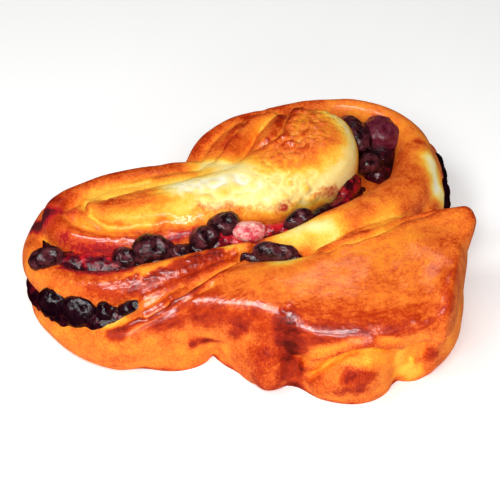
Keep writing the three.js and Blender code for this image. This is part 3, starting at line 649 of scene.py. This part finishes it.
def distance_to(points, path):
    """Each point's distance to a path of straight legs."""
    path = np.array(path, float)
    if len(path) == 1:
        return np.linalg.norm(points - path[0], axis=1)
    nearest = np.full(len(points), np.inf)
    for a, b in zip(path[:-1], path[1:]):
        leg = b - a
        along = np.clip((points - a) @ leg / (leg @ leg), 0, 1)
        nearest = np.minimum(nearest, np.linalg.norm(points - a - along[:, None] * leg, axis=1))
    return nearest


def fade(distance, reach):
    """1 at no distance, falling smoothly to 0 at reach."""
    t = np.clip(1 - distance / reach, 0, 1)
    return t * t * (3 - 2 * t)


def warped(points, size, reach, offset):
    """The points moved about by noise, so that what is measured from them has an uneven edge."""
    return points + reach * np.stack([noise_at(points, size, offset + 7 * axis) for axis in range(3)], axis=1)


def worked(points, normals, paths):
    """Pushes creases in and ridges out along the normals."""
    wavy = warped(points, 6, 0.6, 3)
    push = np.zeros(len(points))
    for path, reach, height in paths:
        push += height * fade(distance_to(wavy, path), reach)
    return points + normals * push[:, None]


def painted(points, base, strokes):
    """Each point's value after the strokes, which have uneven edges as a brushed or baked mark has."""
    value = base.copy()
    wavy = warped(points, 5, 1.4, 20) + warped(points, 1.8, 0.5, 50) - points
    for path, reach, target, strength in strokes:
        cover = fade(distance_to(wavy, path) * 0.8, reach)
        value += (target - value) * strength * cover
    return value


def washed(points, paths):
    """1 where the egg wash ran, ending in the firm edge it dries to."""
    wavy = warped(points, 4, 1.1, 60)
    return np.max([np.clip((reach - distance_to(wavy, path)) / 0.9, 0, 1) for path, reach in paths], axis=0)


def store(obj, name, values):
    """Keeps a value for each point on the mesh, for the material to read."""
    obj.data.attributes.new(name, "FLOAT", "POINT").data.foreach_set("value", values.astype(np.float32))


# ----------------------------------------------------------------------------------------------------
# What a user would change.

class BunSizes(bpy.types.PropertyGroup):
    """How fine the skins are."""

    cell: FloatProperty(
        name="Skin cell", description="Size of the faces of the dough's skin",
        default=0.74 * MM, min=0.6 * MM, unit="LENGTH")
    jam_cell: FloatProperty(
        name="Jam cell", description="Size of the faces of the jam",
        default=0.55 * MM, min=0.3 * MM, unit="LENGTH")
    cherry_cell: FloatProperty(
        name="Cherry cell", description="Size of the faces of the cherries",
        default=0.36 * MM, min=0.2 * MM, unit="LENGTH")


def colour_property(name, description, hex_colour):
    """A colour a user can change."""
    return FloatVectorProperty(
        name=name, description=description, subtype="COLOR", size=4, min=0, max=1, default=linear(hex_colour))


class BunColours(bpy.types.PropertyGroup):
    """The colours of the crust, the juice, the jam and the fruit."""

    crumb: colour_property("Crumb", "Dough that hardly baked", "#FFF8DA")
    pale: colour_property("Pale crust", "Crust that only just coloured", "#FFE994")
    yellow: colour_property("Yellow crust", "Lightly baked crust", "#FDC444")
    golden: colour_property("Golden crust", "Bare baked crust", "#F99626")
    amber: colour_property("Amber crust", "Crust browned through the egg", "#EA7022")
    brown: colour_property("Brown crust", "Well browned crust", "#BE3800")
    chestnut: colour_property("Chestnut crust", "Darkly browned crust", "#981C00")
    scorched: colour_property("Scorched crust", "Nearly burnt crust", "#600A00")
    burnt: colour_property("Burnt crust", "Burnt crust", "#340400")
    juice_thin: colour_property("Thin juice", "Juice on the crust, where it is thin", "#D8441C")
    juice: colour_property("Juice", "Juice on the crust", "#B4141C")
    juice_thick: colour_property("Thick juice", "Juice on the crust, where it dried thick", "#5E0C1C")
    juice_dried: colour_property("Dried juice", "Juice on the crust, where it is thickest", "#2A0A14")
    jam_deep: colour_property("Deep jam", "Jam where it is deepest", "#12020A")
    jam_dark: colour_property("Dark jam", "Jam", "#300612")
    jam_red: colour_property("Red jam", "Jam where light gets through it", "#6C0A1C")
    jam_bright: colour_property("Bright jam", "Jam where it is thinnest", "#C81A24")
    cherry: colour_property("Cherry", "The cherries' wet dark skin", "#1C080E")
    cherry_bloom: colour_property("Cherry bloom", "The wrinkles' paler edges", "#6E3038")
    split_cherry: colour_property("Split cherry", "Cherries that burst in the oven", "#5A1228")
    flesh: colour_property("Flesh", "Torn cherry flesh", "#D84450")
    # The torn flesh's own pale colour, which also serves as its painted highlights.
    flesh_pale_highlight: colour_property("Pale flesh", "Torn cherry flesh where it is palest", "#FFDCCB")


class BunStage(bpy.types.PropertyGroup):
    """The camera and the lights."""

    distance: FloatProperty(
        name="Camera distance", description="From the camera to the middle of the bun",
        default=0.56, unit="LENGTH")
    tilt: FloatProperty(
        name="Camera tilt", description="How far the camera looks down",
        default=math.radians(40), subtype="ANGLE")
    view_width: FloatProperty(
        name="View width", description="Width of the view at the bun's middle",
        default=0.16555, unit="LENGTH")
    room_light: FloatProperty(
        name="Room light", description="Brightness of the white room around the bun", default=0.25, min=0)
    softbox_power: FloatProperty(
        name="Softbox power", description="Power in watts that each softbox has a share of",
        default=1.9, min=0, unit="POWER")


def expect(*nodes):
    """Stops an operator that needs nodes which the frame doesn't have."""
    missing = [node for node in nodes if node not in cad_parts]
    if missing:
        raise RuntimeError("the frame has no " + ", ".join(missing))


def frame_shift():
    """From the layout to the frame, in metres: the seam's cherry is at the same place in both."""
    expect("cherry_seam")
    low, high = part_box("cherry_seam")
    return np.array((Vector(low) + Vector(high)) / 2 - SEAM_CHERRY * MM)


def dress(obj, material, slot, *nodes):
    """Gives a piece its material, the body it rides on and the nodes it stands for. The slot is not used."""
    obj.data.materials.clear()
    obj.data.materials.append(material)
    for face in obj.data.polygons:
        face.use_smooth = True
    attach(obj, BODY)
    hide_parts(*nodes)


class BUN_OT_bake_dough(bpy.types.Operator):
    """Makes the dough as one skin over its strands, with its crust."""

    bl_idname = "bun.bake_dough"
    bl_label = "Bake the dough"

    def execute(self, context):
        expect("dough")
        shift = frame_shift()
        parts = [strand(**strand_layout) for strand_layout in STRANDS.values()]
        parts += [swelling(*row) for row in SWELLINGS]
        dough = new_object("baked_dough", parts, shift)
        cell = context.scene.bun_sizes.cell * 1
        skin_over(dough, cell, 0.5, 4)
        points = rub_smooth(dough, points_of(dough, shift), RUBBED, RUBS)
        set_points(dough, points, shift)
        points = self.sculpt(points, normals_of(dough))
        set_points(dough, points, shift)
        cut_base(dough)
        self.colour(dough, shift)
        dress(dough, glazed_crust(context.scene.bun_colours), "dough", "dough")
        return {"FINISHED"}

    def sculpt(self, points, normals):
        """The dough's unevenness, then its creases, its blisters and its ring blisters."""
        uneven = 0.5 * noise_at(points, 15) + 0.22 * noise_at(points, 6, 11)
        above_base = np.clip(points[:, 2] / 8, 0, 1)
        points = points + normals * (uneven * above_base)[:, None]
        points = worked(points, normals, WORKED)
        push = np.zeros(len(points))
        for path, reach, size, height in BLISTERED:
            near = np.flatnonzero(distance_to(points, path) < reach)
            bumps = np.abs(noise_at(points[near], size, 31)) * 2 - 0.5
            push[near] += height * bumps * fade(distance_to(points[near], path), reach)
        for middle, radius, height in RINGS:
            away = np.linalg.norm(points - np.array(middle), axis=1)
            wall = height * np.exp(-(((away - radius) / RING_WALL) ** 2))
            dimple = height * DIMPLE_DEPTH * np.exp(-((away / DIMPLE) ** 2))
            push += wall - dimple
        return points + normals * push[:, None]

    def colour(self, dough, shift):
        """Paints how baked, glazed and jam-stained the crust is at each point."""
        points, normals = points_of(dough, shift), normals_of(dough)
        # What stands proud of the skin around it browns more, and the dough browns more the higher it stands.
        smooth = rub_smooth(dough, points, EVERYWHERE, DETAIL_RUBS)
        proud = np.clip(((points - smooth) * normals).sum(axis=1), -1, 1)
        height = np.clip((points[:, 2] - 4) / 30, 0, 1)
        base = 0.47 + 0.1 * height + 0.06 * noise_at(points, 14, 5) + 0.05 * noise_at(points, 4, 8)
        bake = painted(points, base, BAKING) + 0.16 * proud + 0.05 * washed(points, WASHED)
        store(dough, "bake", np.clip(bake, 0, 1))
        marks = (("glaze", 0.1, GLAZE), ("stain", 0.0, STAIN), ("blistered", 0.0, BUBBLED))
        for name, start, strokes in marks:
            store(dough, name, np.clip(painted(points, np.full(len(points), start), strokes), 0, 1))
        store(dough, "grain", np.min([distance_to(points, path) for path in GRAIN], axis=0) * MM)


def cut_base(obj):
    """Trims the dough flat where it stands and closes it there."""
    mesh = bmesh.new()
    mesh.from_mesh(obj.data)
    everything = mesh.verts[:] + mesh.edges[:] + mesh.faces[:]
    bmesh.ops.bisect_plane(
        mesh, geom=everything, dist=1e-6, plane_co=(0, 0, 0), plane_no=(0, 0, -1), clear_outer=True)
    rim = [edge for edge in mesh.edges if edge.is_boundary]
    base = bmesh.ops.holes_fill(mesh, edges=rim, sides=0)["faces"]
    bmesh.ops.triangulate(mesh, faces=base)
    mesh.to_mesh(obj.data)
    mesh.free()


def glazed_crust(tones):
    """Baked yeast dough, brushed with egg: the brushed skin browns and shines, the bare walls stay matt."""
    material, tree, output = new_material("Baked yeast dough, egg glazed")
    bake, glaze, stain, grain, blistered = (
        add(tree, "ShaderNodeAttribute", attribute_name=name).outputs["Fac"]
        for name in ("bake", "glaze", "stain", "grain", "blistered"))
    place = add(tree, "ShaderNodeTexCoord").outputs["Object"]
    # The oven's uneven heat leaves patches about 5 mm wide, which hardly show on dough that stayed pale.
    patches = add(tree, "ShaderNodeTexNoise", {
        "Vector": place, "Scale": 1 / (5 * MM), "Detail": 4.0, "Roughness": 0.6})
    patch = add(tree, "ShaderNodeMapRange", {"Value": patches, 1: 0.3, 2: 0.7, 3: -0.07, 4: 0.07})
    browned = add(tree, "ShaderNodeMapRange", {"Value": bake, 1: 0.1, 2: 0.45, 3: 0.3, 4: 1.0})
    # Small bubbles just under the skin leave grains about 1 mm wide.
    grains = add(tree, "ShaderNodeTexNoise", {
        "Vector": place, "Scale": 1 / (1.1 * MM), "Detail": 3.0, "Roughness": 0.65})
    grainy = add(tree, "ShaderNodeMapRange", {"Value": grains, 1: 0.25, 2: 0.75, 3: -0.055, 4: 0.055})
    # The stretched skin has streaks along each strand. They are about 0.2 mm wide on a real bun, and are
    # drawn at 0.9 mm so that they show.
    along = add(tree, "ShaderNodeVectorMath", {0: place, 1: (0.2, 0.2, 0.2)}, operation="MULTIPLY")
    axes = add(tree, "ShaderNodeSeparateXYZ", {0: along})
    wound = add(tree, "ShaderNodeCombineXYZ", {0: grain, 1: axes.outputs[0], 2: axes.outputs[1]})
    streaks = add(tree, "ShaderNodeTexNoise", {
        "Vector": wound, "Scale": 1 / (0.9 * MM), "Detail": 4.0, "Distortion": 0.6})
    streak = add(tree, "ShaderNodeMapRange", {"Value": streaks, 1: 0.3, 2: 0.7, 3: -0.06, 4: 0.06})
    streaked = add(tree, "ShaderNodeMath", {0: streak, 1: glaze}, operation="MULTIPLY")
    # Unbrushed dough is dusty: specks of flour and bran about 0.5 mm wide.
    pores = add(tree, "ShaderNodeTexNoise", {"Vector": place, "Scale": 1 / (0.5 * MM), "Detail": 2.0})
    speck = add(tree, "ShaderNodeMath", {0: pores, 1: 0.5}, operation="SUBTRACT")
    bare = add(tree, "ShaderNodeMapRange", {"Value": glaze, 1: 0.0, 2: 0.7, 3: 0.34, 4: 0.08})
    # Steam raises blisters about 2 mm apart where the skin is thin.
    blisters = add(tree, "ShaderNodeTexVoronoi", {
        "Vector": place, "Scale": 1 / (2.3 * MM), "Randomness": 1.0})
    domed = add(tree, "ShaderNodeMapRange", {
        "Value": blisters.outputs["Distance"], 1: 0.12, 2: 0.42, 3: 1.0, 4: 0.0},
                interpolation_type="SMOOTHSTEP")
    blister = add(tree, "ShaderNodeMath", {0: domed, 1: blistered}, operation="MULTIPLY")
    # Patches, grains, specks, streaks and blisters each shift how baked the crust looks.
    uneven = add(tree, "ShaderNodeMath", {0: patch, 1: grainy}, operation="ADD")
    dusty = add(tree, "ShaderNodeMath", {0: speck, 1: bare, 2: uneven}, operation="MULTIPLY_ADD")
    mottled = add(tree, "ShaderNodeMath", {0: dusty, 1: browned, 2: bake}, operation="MULTIPLY_ADD")
    drawn = add(tree, "ShaderNodeMath", {0: mottled, 1: streaked}, operation="ADD")
    tone = add(tree, "ShaderNodeMath", {0: blister, 1: -0.06, 2: drawn}, operation="MULTIPLY_ADD")
    baked = add(tree, "ShaderNodeValToRGB", {0: tone}, stops=[
        (0.0, tones.crumb), (0.12, tones.pale), (0.26, tones.yellow), (0.40, tones.golden),
        (0.54, tones.amber), (0.66, tones.brown), (0.77, tones.chestnut), (0.88, tones.scorched),
        (1.0, tones.burnt)])
    # Juice that ran onto the crust is bright red where it is thin and nearly black where it is thick.
    soaked = add(tree, "ShaderNodeMath", {0: grainy, 1: 3.0, 2: stain}, operation="MULTIPLY_ADD")
    soaking = add(tree, "ShaderNodeMapRange", {"Value": soaked, 1: 0.1, 2: 0.5, 3: 0.0, 4: 0.95})
    juice = add(tree, "ShaderNodeValToRGB", {0: soaked}, stops=[
        (0.25, tones.juice_thin), (0.5, tones.juice), (0.72, tones.juice_thick), (1.0, tones.juice_dried)])
    colour = add(tree, "ShaderNodeMix", {0: soaking, 6: baked, 7: juice}, data_type="RGBA")
    dull = add(tree, "ShaderNodeMapRange", {"Value": glaze, 3: 0.62, 4: 0.4})
    # The grains, specks, streaks and blisters all stand proud a little.
    rise = add(tree, "ShaderNodeMath", {0: grains, 1: 0.6}, operation="MULTIPLY")
    rise_streaks = add(tree, "ShaderNodeMath", {0: streaked, 1: 2.5, 2: rise}, operation="MULTIPLY_ADD")
    rise_film = add(tree, "ShaderNodeMath", {0: blister, 1: 1.1, 2: rise_streaks}, operation="MULTIPLY_ADD")
    rise_all = add(tree, "ShaderNodeMath", {0: pores, 1: 0.4, 2: rise_film}, operation="MULTIPLY_ADD")
    bump = add(tree, "ShaderNodeBump", {"Strength": 0.55, "Distance": 0.35 * MM, "Height": rise_all})
    # The egg dries as a clear film that fills the pores but follows the rest, so its highlights are sharp and
    # broken. The crumb beneath is mostly air and mirrors little.
    film = add(tree, "ShaderNodeMapRange", {"Value": glaze, 1: 0.12, 2: 0.8, 3: 0.0, 4: 1.0})
    film_bump = add(tree, "ShaderNodeBump", {"Strength": 0.32, "Distance": 0.35 * MM, "Height": rise_film})
    shader = add(tree, "ShaderNodeBsdfPrincipled", {
        "Base Color": colour.outputs[2], "Roughness": dull, "IOR": 1.25,
        "Normal": bump, "Coat Weight": film, "Coat Roughness": 0.13, "Coat IOR": 1.6,
        "Coat Normal": film_bump})
    tree.links.new(shader.outputs[0], output.inputs[0])
    return material


def boiled_jam(tones):
    """Cherry jam boiled with sugar: a wet gloss, red where light gets through and nearly black where not."""
    material, tree, output = new_material("Cherry jam, boiled")
    place = add(tree, "ShaderNodeTexCoord").outputs["Object"]
    # Torn fruit makes clots about 3 mm wide; the sugar skin over them puckers at about 1 mm.
    clots = add(tree, "ShaderNodeTexNoise", {
        "Vector": place, "Scale": 1 / (3 * MM), "Detail": 4.0, "Roughness": 0.6})
    skin = add(tree, "ShaderNodeTexNoise", {"Vector": place, "Scale": 1 / (0.9 * MM), "Detail": 3.0})
    thin = add(tree, "ShaderNodeAttribute", attribute_name="thin").outputs["Fac"]
    depth = add(tree, "ShaderNodeMath", {0: thin, 1: 0.32, 2: clots}, operation="MULTIPLY_ADD")
    colour = add(tree, "ShaderNodeValToRGB", {0: depth}, stops=[
        (0.38, tones.jam_deep), (0.55, tones.jam_dark), (0.7, tones.jam_red), (0.84, tones.jam_bright)])
    roughness = add(tree, "ShaderNodeMapRange", {"Value": skin, 1: 0.3, 2: 0.7, 3: 0.08, 4: 0.24})
    bump = add(tree, "ShaderNodeBump", {"Strength": 0.5, "Distance": 0.5 * MM, "Height": skin})
    shader = add(tree, "ShaderNodeBsdfPrincipled", {
        "Base Color": colour, "Roughness": roughness, "IOR": 1.46, "Normal": bump})
    tree.links.new(shader.outputs[0], output.inputs[0])
    return material


class BUN_OT_spread_jam(bpy.types.Operator):
    """Lays the ribbons of jam in the grooves."""

    bl_idname = "bun.spread_jam"
    bl_label = "Spread the jam"

    def execute(self, context):
        expect(*RIBBONS)
        shift = frame_shift()
        material = boiled_jam(context.scene.bun_colours)
        for node, stations in RIBBONS.items():
            jam = new_object("jam_" + node, [strand(stations)], shift)
            skin_over(jam, context.scene.bun_sizes.jam_cell, 0.5, 2)
            points = points_of(jam, shift)
            lumps = 1.0 * noise_at(points, 4.2) + 0.35 * noise_at(points, 1.7, 9)
            set_points(jam, points + normals_of(jam) * lumps[:, None], shift)
            store(jam, "thin", painted(points, np.zeros(len(points)), THIN_JAM))
            dress(jam, material, "filling", node)
        return {"FINISHED"}


def baked_cherry(name, skin_colour, bloom_colour, shine):
    """A pitted cherry's skin, shrunk in the oven: wet and wrinkled, and paler on the wrinkles' edges."""
    material, tree, output = new_material(name)
    place = add(tree, "ShaderNodeTexCoord").outputs["Object"]
    # The flesh shows through in patches about 3 mm wide; the skin's fine wrinkles are about 0.8 mm apart.
    tone = add(tree, "ShaderNodeTexNoise", {
        "Vector": place, "Scale": 1 / (3 * MM), "Detail": 5.0, "Roughness": 0.65})
    wrinkle = add(tree, "ShaderNodeTexNoise", {
        "Vector": place, "Scale": 1 / (0.8 * MM), "Detail": 3.0, "Roughness": 0.6, "Distortion": 0.5})
    mixed = add(tree, "ShaderNodeMath", {0: wrinkle, 1: 0.25, 2: tone}, operation="MULTIPLY_ADD")
    blend = add(tree, "ShaderNodeMapRange", {"Value": mixed, 1: 0.54, 2: 0.84, 3: 0.0, 4: 1.0})
    colour = add(tree, "ShaderNodeMix", {0: blend, 6: skin_colour, 7: bloom_colour}, data_type="RGBA")
    roughness = add(tree, "ShaderNodeMapRange", {"Value": tone, 1: 0.35, 2: 0.7, 3: shine, 4: shine + 0.16})
    bump = add(tree, "ShaderNodeBump", {"Strength": 0.4, "Distance": 0.4 * MM, "Height": wrinkle})
    shader = add(tree, "ShaderNodeBsdfPrincipled", {
        "Base Color": colour.outputs[2], "Roughness": roughness, "IOR": 1.44, "Normal": bump})
    tree.links.new(shader.outputs[0], output.inputs[0])
    return material


class BUN_OT_place_cherries(bpy.types.Operator):
    """Shapes each cherry from the plain one in its place: dented, wrinkled and wet."""

    bl_idname = "bun.place_cherries"
    bl_label = "Place the cherries"

    def execute(self, context):
        expect(TORN_CHERRY, SPLIT_CHERRY, BURST_CHERRY)
        shift = frame_shift()
        sizes, tones = context.scene.bun_sizes, context.scene.bun_colours
        skin = baked_cherry("Sour cherry, pitted and baked", tones.cherry, tones.cherry_bloom, 0.1)
        split = baked_cherry("Sour cherry, split and baked", tones.split_cherry, tones.cherry_bloom, 0.2)
        burst = baked_cherry("Sour cherry, burst and baked", tones.jam_dark, tones.jam_bright, 0.12)
        # The torn flesh's pale patches are partly its own colour and partly painted highlights.
        flesh = baked_cherry("Sour cherry flesh, torn", tones.flesh, tones.flesh_pale_highlight, 0.2)
        sunk = baked_cherry("Sour cherry, baked in its jam", tones.jam_deep, tones.juice_dried, 0.1)
        looks = {TORN_CHERRY: flesh, SPLIT_CHERRY: split, BURST_CHERRY: burst}
        looks.update({name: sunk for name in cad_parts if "wall" in name})
        for node in sorted(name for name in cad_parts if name.startswith("cherry_")):
            plain = bpy.data.objects[node].data.copy()
            cherry = bpy.data.objects.new(node.replace("cherry_", "baked_cherry_"), plain)
            context.scene.collection.objects.link(cherry)
            skin_over(cherry, sizes.cherry_cell, 0.5, 8)
            points = points_of(cherry, shift)
            dents = 1.3 * noise_at(points, 7.5, 2)
            wrinkles = 0.2 - 0.75 * np.abs(noise_at(warped(points, 5, 2, 4), 5.5, 6))
            fine = 0.1 * noise_at(points, 1.3, 8)
            low, high = points.min(axis=0), points.max(axis=0)
            hole = (low + high) / 2 + (high - low) / 2 * PIT_PLACE
            pitted = -PIT_DEPTH * fade(np.linalg.norm(points - hole, axis=1), PIT_REACH)
            # The torn one's flesh is dented less.
            depth = 0.6 if node == TORN_CHERRY else 1.0
            points = points + normals_of(cherry) * (dents + wrinkles + fine + pitted)[:, None] * depth
            set_points(cherry, points, shift)
            dress(cherry, looks.get(node, skin), "cherry", node)
        return {"FINISHED"}


class BUN_OT_set_stage(bpy.types.Operator):
    """Sets up the floor, the lights and the camera."""

    bl_idname = "bun.set_stage"
    bl_label = "Set the stage"

    def execute(self, context):
        scene = context.scene
        stage = scene.bun_stage
        scene.view_settings.view_transform = "Standard"
        aim = Vector(frame_shift()) + Vector((0, 0, AIM_HEIGHT * MM))
        back = Vector((0, -math.cos(stage.tilt), math.sin(stage.tilt)))
        lens = bpy.data.cameras.new("camera")
        lens.sensor_width = 36
        lens.lens = lens.sensor_width * stage.distance / stage.view_width
        lens.clip_start = 0.01
        camera = bpy.data.objects.new("camera", lens)
        camera.location = aim + back * stage.distance
        camera.rotation_euler = back.to_track_quat("Z", "Y").to_euler()
        scene.collection.objects.link(camera)
        scene.camera = camera
        world = bpy.data.worlds.new("soft white room")
        world.use_nodes = True
        scene.world = world
        # The room, the front softbox and the floor light the bun, but black cards keep them out of its glaze.
        world.cycles_visibility.glossy = False
        world.node_tree.nodes["Background"].inputs["Color"].default_value = (1, 1, 1, 1)
        world.node_tree.nodes["Background"].inputs["Strength"].default_value = stage.room_light
        for name, place, size, share, mirrored in SOFTBOXES:
            light = bpy.data.lights.new(name, "AREA")
            light.shape = "RECTANGLE"
            light.size, light.size_y = size
            light.energy = stage.softbox_power * share
            lamp = bpy.data.objects.new(name, light)
            lamp.location = place
            lamp.rotation_euler = Vector(place).to_track_quat("Z", "Y").to_euler()
            lamp.visible_glossy = mirrored
            scene.collection.objects.link(lamp)
        corners = np.array([(-1, -1, 0), (1, -1, 0), (1, 1, 0), (-1, 1, 0)], float) * FLOOR_REACH
        floor = new_object("pale_floor", [(corners, [(0, 1, 2, 3)])], np.zeros(3))
        material, tree, output = new_material("Matt white laminate, lit from beneath")
        shader = add(tree, "ShaderNodeBsdfPrincipled", {
            "Base Color": linear("#F8F8F7"), "Roughness": 0.7, "Emission Color": linear("#FFFFFF"),
            "Emission Strength": 0.22})
        tree.links.new(shader.outputs[0], output.inputs[0])
        floor.data.materials.append(material)
        floor.visible_glossy = False
        return {"FINISHED"}


class BUN_PT_panel(bpy.types.Panel):
    """Lists the bun's pieces and the sizes behind them."""

    bl_idname = "BUN_PT_panel"
    bl_label = "Cherry Bun"
    bl_space_type = "VIEW_3D"
    bl_region_type = "UI"
    bl_category = "Cherry Bun"

    def draw(self, context):
        for operator in STEPS:
            self.layout.operator(operator.bl_idname)
        for group in (context.scene.bun_sizes, context.scene.bun_colours, context.scene.bun_stage):
            for name in group.__annotations__:
                self.layout.prop(group, name)


STEPS = (BUN_OT_bake_dough, BUN_OT_spread_jam, BUN_OT_place_cherries, BUN_OT_set_stage)
CLASSES = (BunSizes, BunColours, BunStage, *STEPS, BUN_PT_panel)


def register():
    """Makes the bun's classes known, and gives each scene their settings."""
    for each in CLASSES:
        bpy.utils.register_class(each)
    bpy.types.Scene.bun_sizes = PointerProperty(type=BunSizes)
    bpy.types.Scene.bun_colours = PointerProperty(type=BunColours)
    bpy.types.Scene.bun_stage = PointerProperty(type=BunStage)


def unregister():
    """Takes the settings and the classes away again."""
    del bpy.types.Scene.bun_stage
    del bpy.types.Scene.bun_colours
    del bpy.types.Scene.bun_sizes
    for each in reversed(CLASSES):
        bpy.utils.unregister_class(each)


def main():
    """Makes the bun and its stage."""
    register()
    bpy.ops.bun.bake_dough()
    bpy.ops.bun.spread_jam()
    bpy.ops.bun.place_cherries()
    bpy.ops.bun.set_stage()


if __name__ == "__main__":
    main()
